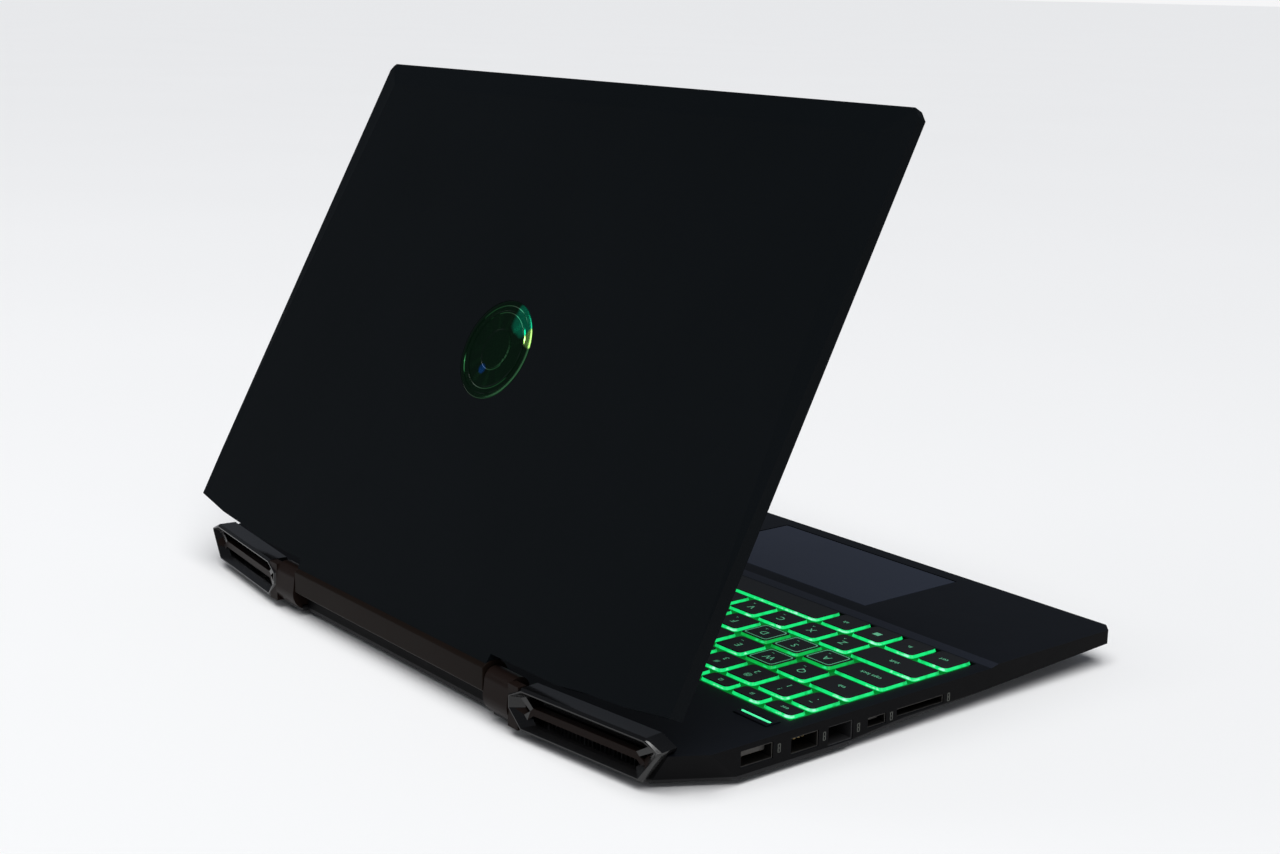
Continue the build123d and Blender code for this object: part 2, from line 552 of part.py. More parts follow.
# The barrel cover round the hinge line, with one flat that faces the rear when the lid is open.
flat = Pos(0, HINGE_Y, HINGE_Z) * Rot(REST_OPEN, 0, 0) * Pos(0, 5.2 + 5, 0) * Box(160, 10, 30)
barrel = rod(-BARREL_HALF, BARREL_HALF, BARREL_R) - flat
barrel = barrel - rod(-BARREL_HALF + 4, BARREL_HALF - 4, 4.4) - both_sides(rod(70, 80, PIN_R + 0.02))
arm_slot = both_sides(box(58.0, 70.0, 238.0, HINGE_Y, 18.35, 19.75))
barrel = barrel - arm_slot
save_lid(barrel, "hinge_cover")
arm = box(58.4, 69.6, 196.0, HINGE_Y, 18.4, 19.7) - box(50, 80, 190, 210, 15, 22)
arm = arm + rod(58.4, 69.6, 4.2) + rod(69.0, 87.8, PIN_R)
arm = arm - post(64, 216, 15, 22, 1.6) - post(64, 230, 15, 22, 1.6)
save_lid(arm, "hinge_arm_right")
save_lid(mirror(arm, Plane.YZ), "hinge_arm_left")
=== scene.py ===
import json
import math

import bmesh
import bpy
from mathutils import Matrix, Vector


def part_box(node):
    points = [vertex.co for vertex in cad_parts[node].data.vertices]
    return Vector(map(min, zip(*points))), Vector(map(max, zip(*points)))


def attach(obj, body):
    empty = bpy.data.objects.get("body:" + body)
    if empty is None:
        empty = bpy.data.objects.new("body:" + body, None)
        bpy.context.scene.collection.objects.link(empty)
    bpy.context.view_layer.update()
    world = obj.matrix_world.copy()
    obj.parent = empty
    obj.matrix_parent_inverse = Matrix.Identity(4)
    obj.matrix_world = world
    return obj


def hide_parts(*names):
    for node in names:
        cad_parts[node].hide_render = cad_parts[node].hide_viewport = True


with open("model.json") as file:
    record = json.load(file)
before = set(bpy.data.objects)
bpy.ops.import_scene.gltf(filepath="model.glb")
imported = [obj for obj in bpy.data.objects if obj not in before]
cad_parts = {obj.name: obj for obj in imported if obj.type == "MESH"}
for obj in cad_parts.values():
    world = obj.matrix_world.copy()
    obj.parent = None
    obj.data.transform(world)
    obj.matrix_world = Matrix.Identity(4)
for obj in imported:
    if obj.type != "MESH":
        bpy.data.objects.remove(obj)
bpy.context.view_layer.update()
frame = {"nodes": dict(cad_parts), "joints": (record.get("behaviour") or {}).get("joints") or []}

# ---------------------------------------------------------------- lid back cover
# The lid's back is one moulded black plastic cover with a broad bevel along its free edge and a narrowing
# bevel down each side. It is finished in fine satin paint, and the display and bezel are fixed inside it.


class Wire:
    """A socket in a node tree. Sums and products of wires add Math nodes."""

    def __init__(self, tree, socket=None):
        self.tree = tree
        self.socket = socket

    def node(self, kind, settings=None, inputs=None, out=0):
        made = self.tree.nodes.new(kind)
        for key, value in (settings or {}).items():
            if key == "stops":
                ramp = made.color_ramp
                while len(ramp.elements) < len(value):
                    ramp.elements.new(0.5)
                for element, (place, colour) in zip(ramp.elements, value):
                    element.position = place
                    element.color = (*colour, 1.0)
            else:
                setattr(made, key, value)
        for key, value in (inputs or {}).items():
            if isinstance(value, Wire):
                self.tree.links.new(value.socket, made.inputs[key])
            else:
                made.inputs[key].default_value = value
        return Wire(self.tree, made.outputs[out])

    def maths(self, operation, *values):
        return self.node("ShaderNodeMath", {"operation": operation}, dict(enumerate(values)))

    def into(self, shader, socket):
        self.tree.links.new(self.socket, shader.inputs[socket])

    def __add__(self, other):
        return self.maths("ADD", self, other)

    __radd__ = __add__

    def __sub__(self, other):
        return self.maths("SUBTRACT", self, other)

    def __rsub__(self, other):
        return self.maths("SUBTRACT", other, self)

    def __mul__(self, other):
        return self.maths("MULTIPLY", self, other)

    __rmul__ = __mul__

    def __truediv__(self, other):
        return self.maths("DIVIDE", self, other)

    def __rtruediv__(self, other):
        return self.maths("DIVIDE", other, self)


def new_finish(name, **constants):
    """A material with a Principled shader; what is the same all over is set on the shader's own sockets."""
    material = bpy.data.materials.new(name)
    material.use_nodes = True
    shader = material.node_tree.nodes["Principled BSDF"]
    for socket, value in constants.items():
        shader.inputs[socket.replace("_", " ")].default_value = value
    return material, Wire(material.node_tree), shader


def place_on(wires):
    return wires.node("ShaderNodeTexCoord", out="Object")


def noise(wires, size, detail=2.0, rough=0.5):
    """Noise whose patches are about size metres across."""
    return wires.node("ShaderNodeTexNoise", inputs={
        "Vector": place_on(wires), "Scale": 1.0 / size, "Detail": detail, "Roughness": rough}, out="Fac")


def mix_colours(wires, share, first, second):
    return wires.node("ShaderNodeMix", {"data_type": "RGBA"}, {
        "Factor": share, 6: (*first, 1), 7: (*second, 1)}, out=2)


def moulded(name, low, high, rough, spread, grain=0.0004, depth=0.00002, **constants):
    """Plastic: its colour drifts between low and high, and it has a fine moulded grain and handling marks."""
    material, wires, shader = new_finish(name, **constants)
    drift = noise(wires, 0.09, 3)
    mix_colours(wires, drift, low, high).into(shader, "Base Color")
    marks = noise(wires, 0.025, 5, 0.65)
    (marks * spread + (rough - spread / 2)).into(shader, "Roughness")
    tooth = noise(wires, grain, 2)
    wires.node("ShaderNodeBump", inputs={
        "Strength": 0.5, "Distance": depth, "Height": tooth}, out=0).into(shader, "Normal")
    return material


def rounded(node, name, radius, segments=2, angle=22):
    """A copy of a CAD node's mesh with its edges broken, as a moulding or a pressing has."""
    work = bmesh.new()
    work.from_mesh(frame["nodes"][node].data)
    bmesh.ops.remove_doubles(work, verts=work.verts, dist=1e-6)
    bmesh.ops.dissolve_limit(work, angle_limit=math.radians(0.6), verts=work.verts, edges=work.edges)
    mesh = bpy.data.meshes.new(name)
    work.to_mesh(mesh)
    work.free()
    mesh.materials.clear()
    return settle(mesh, name, radius, segments, angle)


def settle(mesh, name, radius=0.0, segments=2, angle=22, broad=0.0022):
    """Make an object of a mesh, break its sharp edges and shade it, with every modifier applied."""
    work = bmesh.new()
    work.from_mesh(mesh)
    for face in work.faces:
        face.smooth = True
    for edge in work.edges:
        if len(edge.link_faces) != 2:
            continue
        turn = math.degrees(edge.calc_face_angle())
        # Two broad faces meet at a crease even where the turn is slight; narrow ones are part of a curve.
        widths = [face.calc_area() / max(side.calc_length() for side in face.edges)
                  for face in edge.link_faces]
        beveled = radius and turn > angle
        edge.smooth = bool(beveled) or not (turn > 11 or (min(widths) > broad and turn > 0.8))
    bmesh.ops.triangulate(work, faces=[face for face in work.faces if len(face.verts) > 4])
    work.to_mesh(mesh)
    work.free()
    piece = bpy.data.objects.new(name, mesh)
    bpy.context.scene.collection.objects.link(piece)
    if radius:
        bevel = piece.modifiers.new("edge", "BEVEL")
        bevel.width = radius
        bevel.segments = segments
        bevel.limit_method = "ANGLE"
        bevel.angle_limit = math.radians(angle)
        bevel.miter_outer = "MITER_ARC"
    shade = piece.modifiers.new("shade", "WEIGHTED_NORMAL")
    shade.keep_sharp = True
    shade.weight = 100
    return plain(piece)


def plain(piece):
    """Replace a piece's mesh by its evaluated mesh and drop its modifiers."""
    graph = bpy.context.evaluated_depsgraph_get()
    mesh = bpy.data.meshes.new_from_object(piece.evaluated_get(graph), depsgraph=graph)
    piece.modifiers.clear()
    piece.data = mesh
    return piece


def finish_with(piece, material, body, slot, *replaced):
    """Give a piece its material, its body and the nodes that it stands for; the slot is not used."""
    if material:
        piece.data.materials.clear()
        piece.data.materials.append(material)
    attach(piece, body)
    if replaced:
        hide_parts(*replaced)
    return piece


shell_paint = moulded("satin_shell", (0.0020, 0.0030, 0.0038), (0.0030, 0.0042, 0.0054), 0.50, 0.10,
                      Specular_IOR_Level=0.035)
lid_back = rounded("lid_back_cover", "lid_back", 0.0006, 3)
finish_with(lid_back, shell_paint, "lid", "shell", "lid_back_cover")

# The lid is drawn closed and flat, then turned open about the hinge line, as the frame stores it.
lid_joint = next(joint for joint in frame["joints"] if joint["name"] == "lid_hinge")
hinge_at = Vector(lid_joint["pos_m"])
rest_open = math.radians(-lid_joint["range_deg"][0])
lid_turn = Matrix.Translation(hinge_at) @ Matrix.Rotation(-rest_open, 4, "X") @ Matrix.Translation(-hinge_at)
lid_shut = lid_turn.inverted()


def shut_box(node):
    """A lid node's box as it lies when the lid is shut."""
    points = [lid_shut @ vertex.co for vertex in frame["nodes"][node].data.vertices]
    low = Vector(min(point[i] for point in points) for i in range(3))
    high = Vector(max(point[i] for point in points) for i in range(3))
    return low, high


# ---------------------------------------------------------------- lid badge
# A round mirror-finished green disc is let into the middle of the lid. Its face has turned rings and a
# ring of small facets; it is pressed metal held by adhesive.
badge_low, badge_high = shut_box("lid_badge")
badge_centre = (badge_low + badge_high) / 2
badge_radius = (badge_high.x - badge_low.x) / 2
badge_top = badge_high.z
# (share of the radius, height below the top face) from the rim to the middle
BADGE_PROFILE = [
    (1.0, 0.0006), (1.0, 0.00025), (0.985, 0.00008), (0.955, 0.0), (0.90, 0.0), (0.885, 0.00022),
    (0.80, 0.00026), (0.785, 0.00005), (0.76, 0.00005), (0.745, 0.00024), (0.42, 0.0003), (0.405, 0.00008),
    (0.36, 0.00004),
]
BADGE_FACETS = 12
FACET_BAND = (0.42, 0.745)      # shares of the radius
FACET_RISE = 0.00007
BADGE_SIDES = 96


def badge_mesh():
    work = bmesh.new()
    rings = []
    for share, below in BADGE_PROFILE:
        ring = []
        for i in range(BADGE_SIDES):
            turn = 2 * math.pi * i / BADGE_SIDES
            # The broad middle band is cut into flat facets that meet on radial lines.
            part = (turn * BADGE_FACETS / (2 * math.pi)) % 1.0
            rise = FACET_RISE * abs(part - 0.5) * 2 if FACET_BAND[0] <= share <= FACET_BAND[1] else 0.0
            ring.append(work.verts.new((
                badge_centre.x + math.cos(turn) * share * badge_radius,
                badge_centre.y + math.sin(turn) * share * badge_radius,
                badge_top - below + rise)))
        rings.append(ring)
    for outer, inner in zip(rings, rings[1:]):
        for i in range(BADGE_SIDES):
            j = (i + 1) % BADGE_SIDES
            work.faces.new((outer[i], outer[j], inner[j], inner[i]))
    work.faces.new(rings[-1])
    work.faces.new(list(reversed(rings[0])))
    bmesh.ops.recalc_face_normals(work, faces=work.faces)
    work.transform(lid_turn)
    mesh = bpy.data.meshes.new("lid_badge_disc")
    work.to_mesh(mesh)
    work.free()
    return mesh


badge_metal, wires, shader = new_finish("green_mirror", Metallic=1.0, Roughness=0.10)
badge_place = wires.node("ShaderNodeSeparateXYZ", inputs={0: place_on(wires)}, out="X") / badge_radius
badge_height = wires.node("ShaderNodeSeparateXYZ", inputs={0: place_on(wires)}, out="Z")
badge_height = (badge_height - (lid_turn @ badge_centre).z) / (badge_radius * math.sin(rest_open))


def painted_reflection_patch(x, y, reach, wobble):
    """A soft-edged patch of painted reflection on the plating, centred at shares of the radius."""
    from_x = (badge_place - x) * (badge_place - x)
    from_y = (badge_height - y) * (badge_height - y)
    away = (from_x + from_y + (noise(wires, 0.006, 1) - 0.5) * wobble) / (reach * reach)
    return wires.node("ShaderNodeMapRange", {"clamp": True}, {
        "Value": away, 1: 0.7, 2: 1.25, 3: 1.0, 4: 0.0}, out=0)


# The plating is a deep bottle green. Painted reflections lie on it: a teal patch, a lime glint at the rim
# and a blue spot.
plating_and_reflections = mix_colours(wires, noise(wires, 0.02, 3), (0.004, 0.022, 0.007), (0.011, 0.055, 0.020))
for colour, (x, y, reach, wobble) in (((0.004, 0.42, 0.20), (-0.50, 0.70, 0.34, 0.10)),
                                      ((0.42, 0.85, 0.18), (-0.89, 0.38, 0.19, 0.02)),
                                      ((0.008, 0.10, 0.32), (0.18, -0.42, 0.10, 0.004))):
    share = painted_reflection_patch(x, y, reach, wobble)
    plating_and_reflections = wires.node("ShaderNodeMix", {"data_type": "RGBA"}, {
        "Factor": share, 6: plating_and_reflections, 7: (*colour, 1)}, out=2)
plating_and_reflections.into(shader, "Base Color")
badge = settle(badge_mesh(), "lid_badge_disc", 0.0, 2)
finish_with(badge, badge_metal, "lid", "badge", "lid_badge")

# ---------------------------------------------------------------- hinge cover
# A long plastic barrel covers the hinge line between the vents. It is part of the lid, has one flat that
# faces the rear when the lid is open, and is finished smoother than the shell.
# Its dark colour carries a warm brown tint that is a painted reflection.
barrel_brown_reflection = moulded("hinge_cover_gloss", (0.0060, 0.0038, 0.0028), (0.0085, 0.0054, 0.0040),
                       0.40, 0.08, 0.0006, 0.00001, Specular_IOR_Level=0.03)
barrel = rounded("hinge_cover", "hinge_barrel", 0.0005, 2, 30)
finish_with(barrel, barrel_brown_reflection, "lid", "barrel", "hinge_cover")

# ---------------------------------------------------------------- display bezel, glass and camera
# A thin matt black frame clips over the edge of the display. The display's face is dark when it is off,
# with a faint sheen; the camera lens and two microphone holes sit in the top margin.
bezel_paint = moulded("matt_bezel", (0.0060, 0.0060, 0.0068), (0.0085, 0.0085, 0.0094),
                      0.55, 0.10, 0.0005, 0.00003, Specular_IOR_Level=0.25)
bezel = rounded("display_bezel", "bezel_frame", 0.0003)
finish_with(bezel, bezel_paint, "lid", "bezel", "display_bezel")

screen_face, wires, shader = new_finish("dark_display", IOR=1.45, Specular_IOR_Level=0.5)
dot_haze = noise(wires, 0.00025, 1)
mix_colours(wires, dot_haze, (0.0050, 0.0052, 0.0062), (0.0075, 0.0078, 0.0095)).into(shader, "Base Color")
(noise(wires, 0.05, 4) * 0.08 + 0.24).into(shader, "Roughness")
screen = rounded("lcd_screen", "display_face", 0.0001)
finish_with(screen, screen_face, "lid", "screen", "lcd_screen")

LENS_PROFILE = [(0.97, 0.00095), (0.97, 0.00012), (0.90, 0.0), (0.74, 0.0), (0.66, 0.0003), (0.50, 0.0003),
                (0.42, 0.00012), (0.25, 0.00004), (0.10, 0.0)]


def turned_mesh(name, profile, centre, radius, face, sides=40):
    """A turned disc whose face looks down when the lid is shut."""
    work = bmesh.new()
    rings = []
    for share, behind in profile:
        rings.append([work.verts.new((
            centre.x + math.cos(2 * math.pi * i / sides) * share * radius,
            centre.y + math.sin(2 * math.pi * i / sides) * share * radius,
            face + behind)) for i in range(sides)])
    for outer, inner in zip(rings, rings[1:]):
        for i in range(sides):
            j = (i + 1) % sides
            work.faces.new((outer[i], outer[j], inner[j], inner[i]))
    work.faces.new(rings[-1])
    work.faces.new(list(reversed(rings[0])))
    bmesh.ops.recalc_face_normals(work, faces=work.faces)
    mesh = bpy.data.meshes.new(name)
    work.to_mesh(mesh)
    work.free()
    return mesh


lens_low, lens_high = shut_box("webcam_lens")
lens_centre = (lens_low + lens_high) / 2
lens_mesh = turned_mesh("camera_lens", LENS_PROFILE, lens_centre, (lens_high.x - lens_low.x) / 2, lens_low.z)
lens_mesh.transform(lid_turn)
lens_glass, wires, shader = new_finish("lens_glass", IOR=1.5)
mix_colours(
    wires, noise(wires, 0.0015), (0.006, 0.006, 0.012), (0.02, 0.012, 0.04)).into(shader, "Base Color")
(noise(wires, 0.002) * 0.06 + 0.04).into(shader, "Roughness")
lens = settle(lens_mesh, "camera_lens")
finish_with(lens, lens_glass, "lid", "lens", "webcam_lens")


def numbered_input(tree, name, kind, value):
    """Add a named input to a geometry tree and give it its first value."""
    entry = tree.interface.new_socket(name=name, in_out="INPUT", socket_type=kind)
    entry.default_value = value
    return entry


def grown(name, tree, material, **values):
    """Run a geometry tree on an empty mesh and keep the result as a plain mesh."""
    piece = bpy.data.objects.new(name, bpy.data.meshes.new(name))
    bpy.context.scene.collection.objects.link(piece)
    modifier = piece.modifiers.new("grow", "NODES")
    modifier.node_group = tree
    for entry in tree.interface.items_tree:
        if entry.item_type == "SOCKET" and entry.in_out == "INPUT" and entry.name in values:
            modifier[entry.identifier] = values[entry.name]
    plain(piece)
    piece.data.materials.clear()
    piece.data.materials.append(material)
    return piece


def grid_tree(name, shape, material):
    """A tree that sets one small shape, a round pin or a square bar, on a flat grid."""
    tree = bpy.data.node_groups.new(name, "GeometryNodeTree")
    tree.interface.new_socket(name="Geometry", in_out="OUTPUT", socket_type="NodeSocketGeometry")
    numbered_input(tree, "Columns", "NodeSocketInt", 4)
    numbered_input(tree, "Rows", "NodeSocketInt", 1)
    numbered_input(tree, "Across", "NodeSocketVector", (0.01, 0, 0))
    numbered_input(tree, "Along", "NodeSocketVector", (0, 0.01, 0))
    numbered_input(tree, "Start", "NodeSocketVector", (0, 0, 0))
    numbered_input(tree, "Size", "NodeSocketVector", (0.001, 0.001, 0.001))
    start = Wire(tree)
    given = tree.nodes.new("NodeGroupInput")
    inputs = {socket.name: Wire(tree, socket) for socket in given.outputs if socket.name}
    rows = start.node("GeometryNodeMeshLine", {"mode": "OFFSET"}, {
        "Count": inputs["Rows"], "Start Location": inputs["Start"], "Offset": inputs["Along"]})
    columns = start.node("GeometryNodeMeshLine", {"mode": "OFFSET"}, {
        "Count": inputs["Columns"], "Offset": inputs["Across"]})
    lattice = start.node("GeometryNodeInstanceOnPoints", inputs={"Points": rows, "Instance": columns})
    points = start.node("GeometryNodeRealizeInstances", inputs={"Geometry": lattice})
    if shape == "bar":
        unit = start.node("GeometryNodeMeshCube", inputs={"Size": (1, 1, 1)})
    else:
        unit = start.node("GeometryNodeMeshCylinder", inputs={
            "Vertices": 16, "Radius": 0.5, "Depth": 1.0})
    many = start.node("GeometryNodeInstanceOnPoints", inputs={
        "Points": points, "Instance": unit, "Scale": inputs["Size"]})
    solid = start.node("GeometryNodeRealizeInstances", inputs={"Geometry": many})
    painted = start.node("GeometryNodeSetMaterial", inputs={"Geometry": solid, "Material": material})
    result = tree.nodes.new("NodeGroupOutput")
    tree.links.new(painted.socket, result.inputs[0])
    return tree


# The microphone holes are drawn as flat black discs: painted shade for the dark inside of each hole.
painted_hole_shade, wires, shader = new_finish("painted_hole_shade", Roughness=0.9)
mix_colours(
    wires, noise(wires, 0.004), (0.001, 0.001, 0.001), (0.003, 0.003, 0.003)).into(shader, "Base Color")
round_tree = grid_tree("round_marks", "round", painted_hole_shade)
bezel_face = shut_box("display_bezel")[0].z
microphones = grown("microphone_holes", round_tree, painted_hole_shade, Columns=2, Rows=1, Across=(0.052, 0, 0),
                    Start=(-0.026, lens_centre.y, bezel_face - 0.00001), Size=(0.0011, 0.0011, 0.00006))
microphones.data.transform(lid_turn)
finish_with(microphones, painted_hole_shade, "lid", "lens")

# Soft round bumpers keep the shut lid off the deck.
rubber, wires, shader = new_finish("soft_rubber", Specular_IOR_Level=0.3)
mix_colours(
    wires, noise(wires, 0.003, 4), (0.010, 0.010, 0.010), (0.022, 0.022, 0.022)).into(shader, "Base Color")
(noise(wires, 0.004) * 0.12 + 0.72).into(shader, "Roughness")
wires.node("ShaderNodeBump", inputs={
    "Strength": 0.5, "Distance": 0.00003, "Height": noise(wires, 0.0005, 3)}).into(shader, "Normal")
bumpers = rounded("lid_bumpers", "lid_bumper_dots", 0.00015, 2, 40)
finish_with(bumpers, rubber, "lid", "rubber", "lid_bumpers")

# ---------------------------------------------------------------- top cover
# The palm rest, ramp, lowered key deck and side walls are one moulding in dark charcoal with a silky grain. A
# row of fine slots above the keys lets the speakers out.
deck_paint = moulded("silky_deck", (0.0042, 0.0052, 0.0072), (0.0056, 0.0068, 0.0094),
                     0.46, 0.09, 0.0005, 0.00002, Specular_IOR_Level=0.05)
# The walls are the same plastic, painted darker where they face sideways: painted shade.
wall_painted_shade = moulded("wall_with_painted_shade", (0.0030, 0.0030, 0.0034), (0.0042, 0.0042, 0.0047),
                     0.50, 0.09, 0.0005, 0.00002, Specular_IOR_Level=0.035)
# The ramp is the same plastic, painted lighter where it slopes: a painted sheen.
ramp_painted_sheen = moulded("ramp_with_painted_sheen", (0.0100, 0.0120, 0.0180), (0.0125, 0.0150, 0.0225),
                     0.44, 0.08, 0.0005, 0.00002, Specular_IOR_Level=0.10)
# Upward parts of a face's normal that tell the ramp and the walls from the flat deck.
RAMP_SLOPE = (0.9, 0.997)
WALL_SLOPE = 0.6
RAMP_SIDEWAYS = 0.02
RAMP_LOWEST = 0.014
deck = rounded("top_cover", "deck_cover", 0.0004, 2, 24)
deck.data.materials.clear()
deck.data.materials.append(deck_paint)
deck.data.materials.append(ramp_painted_sheen)
deck.data.materials.append(wall_painted_shade)
well_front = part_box("keyboard_backlight")[0].y
# Faces sloping up towards the keys take the painted sheen.
for face in deck.data.polygons:
    sloping = RAMP_SLOPE[0] < face.normal.z < RAMP_SLOPE[1] and abs(face.normal.x) < RAMP_SIDEWAYS
    on_ramp = sloping and face.center.y < well_front and face.center.z > RAMP_LOWEST
    face.material_index = 1 if on_ramp else 0
    # Steep faces take the painted shade.
    if face.normal.z < WALL_SLOPE:
        face.material_index = 2
finish_with(deck, None, "base", "deck", "top_cover")

# ---------------------------------------------------------------- side marks
# Beside each left-hand socket a small pale symbol is printed on the side wall.
print_pale, wires, shader = new_finish("pale_print", Roughness=0.5)
mix_colours(
    wires, noise(wires, 0.002), (0.045, 0.050, 0.042), (0.070, 0.076, 0.064)).into(shader, "Base Color")
bar_tree = grid_tree("bar_marks", "bar", print_pale)
left_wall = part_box("top_cover")[0].x
MARK_SPAN = 0.0032
mark_parts = []
for socket_node in ("hdmi_port", "usb_port_left", "ethernet_port", "usb_c_port", "card_reader"):
    low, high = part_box(socket_node)
    middle = (low.z + high.z) / 2
    mark_y = low.y - 0.0036
    mark_parts.append(grown("mark", bar_tree, print_pale, Columns=1, Rows=2, Along=(0, 0.0011, 0),
                            Start=(left_wall, mark_y, middle), Size=(0.00006, 0.00035, MARK_SPAN)))
    mark_parts.append(grown("mark", bar_tree, print_pale, Columns=1, Rows=3, Along=(0, 0, MARK_SPAN / 2),
                            Start=(left_wall, mark_y + 0.00055, middle - MARK_SPAN / 2),
                            Size=(0.00006, 0.0012, 0.0003)))


def joined(parts, name):
    """Join separate objects into one piece."""
    work = bmesh.new()
    for part in parts:
        work.from_mesh(part.data)
    mesh = bpy.data.meshes.new(name)
    for material in parts[0].data.materials:
        mesh.materials.append(material)
    work.to_mesh(mesh)
    work.free()
    for part in parts:
        bpy.data.objects.remove(part)
    piece = bpy.data.objects.new(name, mesh)
    bpy.context.scene.collection.objects.link(piece)
    return piece


side_marks = joined(mark_parts, "side_symbols")
finish_with(side_marks, print_pale, "base", "port_dark")

# ---------------------------------------------------------------- rear vents and hinge towers
# Each rear corner has an eight-sided glossy black frame with a narrow bevel and a forked bar across its
# mouth. The bar and the short tower that covers the hinge beside it are in a duller plastic whose brown
# tint is a painted reflection.
vent_gloss = moulded("vent_gloss", (0.0022, 0.0022, 0.0024), (0.0036, 0.0034, 0.0034),
                     0.17, 0.06, 0.0008, 0.00001, Specular_IOR_Level=0.42)
bar_brown_reflection = moulded("vent_bar", (0.0080, 0.0050, 0.0042), (0.0115, 0.0072, 0.0060),
                    0.36, 0.08, 0.0008, 0.00001, Specular_IOR_Level=0.04)
BAR_HALF = 0.0020
BAR_RUN = 0.0345
for side in ("left", "right"):
    vent = rounded(f"vent_frame_{side}", f"vent_surround_{side}", 0.00035, 3, 18)
    vent.data.materials.clear()
    vent.data.materials.append(vent_gloss)
    vent.data.materials.append(bar_brown_reflection)
    vent_low, vent_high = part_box(f"vent_frame_{side}")
    middle = (vent_low + vent_high) / 2
    for face in vent.data.polygons:
        away = face.center - middle
        face.material_index = 1 if abs(away.x) < BAR_RUN and abs(away.z) < BAR_HALF else 0
    finish_with(vent, None, "base", "shell_rear", f"vent_frame_{side}")
    # The tower takes the same dull plastic with its painted brown reflection.
    tower = rounded(f"hinge_tower_{side}", f"hinge_cap_{side}", 0.0003, 2, 30)
    finish_with(tower, bar_brown_reflection, "base", "shell_rear", f"hinge_tower_{side}")

# ---------------------------------------------------------------- light sheet and key plate
# Under the keys a thin light guide shines green through the gaps. It lies on a pressed steel plate.
glow_sheet, wires, shader = new_finish("key_light_sheet", Roughness=0.5, Emission_Strength=0.25)
mix_colours(wires, noise(wires, 0.02), (0.0, 0.05, 0.02), (0.0, 0.08, 0.03)).into(shader, "Base Color")
mix_colours(
    wires, noise(wires, 0.012, 2), (0.0, 0.20, 0.01), (0.0, 0.62, 0.05)).into(shader, "Emission Color")
light_sheet = frame["nodes"]["keyboard_backlight"]
light_sheet.data.materials.clear()
light_sheet.data.materials.append(glow_sheet)

# ---------------------------------------------------------------- keys
# Each key is a moulded cap of clear green-lit plastic, painted satin black on top with the legend left clear.
# The paint wraps over the shoulder; the sides below it have a painted glow with painted white hot spots,
# brightest near a lamp spot under the rear edge.
PAINT_MARGIN = 0.00015
PAINT_FROM = 0.84       # share of the cap's height that stays clear
LIT_LEVELS = 2
SIDE_FILLET = 0.00035
CORNER_STEPS = 5
# How far a cap narrows to its top, the dish in its top, and the reach of the painted glow round the lamp
# spot under its rear edge.
CAP_TAPER = 0.00075
DISH_EDGE = 0.0012
DISH_DEPTH = 0.00012
LAMP_INSET = 0.0045
LAMP_REACH = 0.0065
EDGE_REACH = 0.0045
OUTLINE_OUTER = 0.00140
OUTLINE_INNER = 0.00185
OUTLINE_DEPTH = 0.00016
GAMING_KEYS = ("key_w", "key_a", "key_s", "key_d")

key_black = moulded("key_black", (0.0050, 0.0056, 0.0066), (0.0070, 0.0080, 0.0092),
                    0.50, 0.10, 0.0005, 0.00003, Specular_IOR_Level=0.22)


def lit_plastic(name, dim, bright, hot):
    """Clear plastic with a painted glow: the attribute shine runs from 0, dim, to 1, beside the lamp spot."""
    material, wires, shader = new_finish(name, Roughness=0.35, Emission_Strength=1.0)
    shine = wires.node("ShaderNodeAttribute", {"attribute_name": "shine"}, out="Fac")
    streak = noise(wires, 0.0030, 2)
    level = shine * 0.85 + (streak - 0.5) * 0.9
    # The glow is painted in as emission; the last stop paints white hot spots beside the lamp spot.
    stops = [(0.08, dim), (0.52, bright), (0.74, bright), (0.98, hot)]
    lamp = wires.node("ShaderNodeValToRGB", {"stops": stops}, {"Fac": level})
    lamp.into(shader, "Emission Color")
    mix_colours(wires, streak, (0.0, 0.10, 0.04), (0.0, 0.20, 0.08)).into(shader, "Base Color")
    return material


key_sides = lit_plastic("key_side_glow", (0.003, 0.22, 0.020), (0.010, 0.78, 0.190), (0.50, 1.0, 0.86))
key_dim_sides = lit_plastic("key_dim_glow", (0.002, 0.12, 0.010), (0.004, 0.42, 0.055), (0.03, 0.85, 0.28))
# Legends and outlines glow with painted light, standing in for the backlight shining through them.
legend_glow, wires, shader = new_finish("legend_glow", Roughness=0.4, Emission_Strength=0.28)
mix_colours(wires, noise(wires, 0.003), (0.06, 0.52, 0.20), (0.14, 0.75, 0.36)).into(shader, "Emission Color")
mix_colours(wires, noise(wires, 0.002), (0.10, 0.30, 0.20), (0.12, 0.36, 0.24)).into(shader, "Base Color")


def cap_boxes(node):
    """The box of each separate cap in a node of keys, from left to right and front to rear."""
    work = bmesh.new()
    work.from_mesh(frame["nodes"][node].data)
    bmesh.ops.remove_doubles(work, verts=work.verts, dist=1e-6)
    left = set(work.verts)
    boxes = []
    while left:
        stack = [left.pop()]
        island = []
        while stack:
            vertex = stack.pop()
            island.append(vertex.co.copy())
            for edge in vertex.link_edges:
                other = edge.other_vert(vertex)
                if other in left:
                    left.remove(other)
                    stack.append(other)
        boxes.append((Vector(min(co[i] for co in island) for i in range(3)),
                      Vector(max(co[i] for co in island) for i in range(3))))
    work.free()
    return sorted(boxes, key=lambda box: (round(box[0].y, 3), box[0].x))


